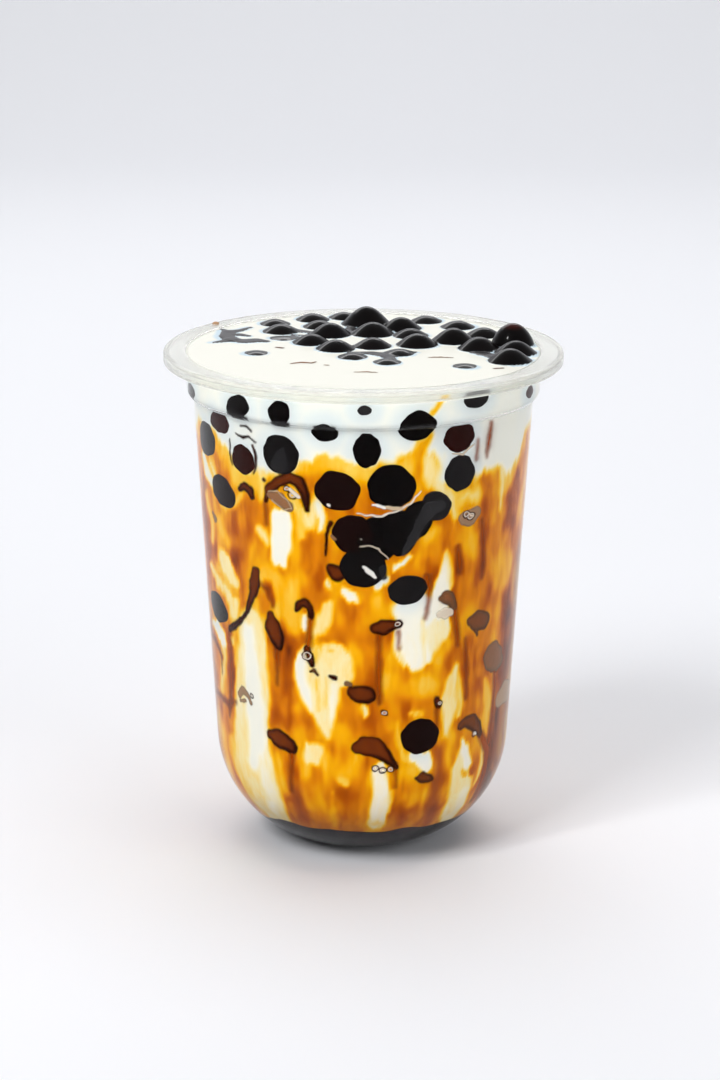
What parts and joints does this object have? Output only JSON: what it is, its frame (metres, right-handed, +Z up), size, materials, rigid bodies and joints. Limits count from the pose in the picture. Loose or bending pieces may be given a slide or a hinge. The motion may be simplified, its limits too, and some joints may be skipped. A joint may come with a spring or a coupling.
{
  "type": "bubble tea in a clear cup",
  "caption": "Iced milk tea with brown sugar streaks and dark tapioca pearls, filled to the brim of a clear round-bottomed plastic cup with no lid or straw.",
  "frame": {"origin": "centre of the foot ring, on the surface that the cup stands on", "axes": "+Z up along the cup's axis, -Y towards the shown front, +X to its right"},
  "size_m": [0.095, 0.095, 0.1254],
  "materials": {
    "clear_plastic": "clear glossy",
    "milk_tea": "wet, milk with amber streaks",
    "brown_sugar_syrup": "wet, dark and glossy",
    "tapioca": "wet, black and glossy"
  },
  "bodies": {
    "root": {"cup": "clear_plastic", "milk_tea": "milk_tea", "syrup_layer": "brown_sugar_syrup", "pearl_01": "tapioca", "pearl_02": "tapioca", "pearl_03": "tapioca", "pearl_04": "tapioca", "pearl_05": "tapioca", "pearl_06": "tapioca", "pearl_07": "tapioca", "pearl_08": "tapioca", "pearl_09": "tapioca", "pearl_10": "tapioca", "pearl_11": "tapioca", "pearl_12": "tapioca", "pearl_13": "tapioca", "pearl_14": "tapioca", "pearl_15": "tapioca", "pearl_16": "tapioca", "pearl_17": "tapioca", "pearl_18": "tapioca", "pearl_19": "tapioca", "pearl_20": "tapioca", "pearl_21": "tapioca", "pearl_22": "tapioca", "pearl_23": "tapioca", "pearl_24": "tapioca", "pearl_25": "tapioca", "pearl_26": "tapioca", "pearl_27": "tapioca", "pearl_28": "tapioca"}
  },
  "joints": []
}
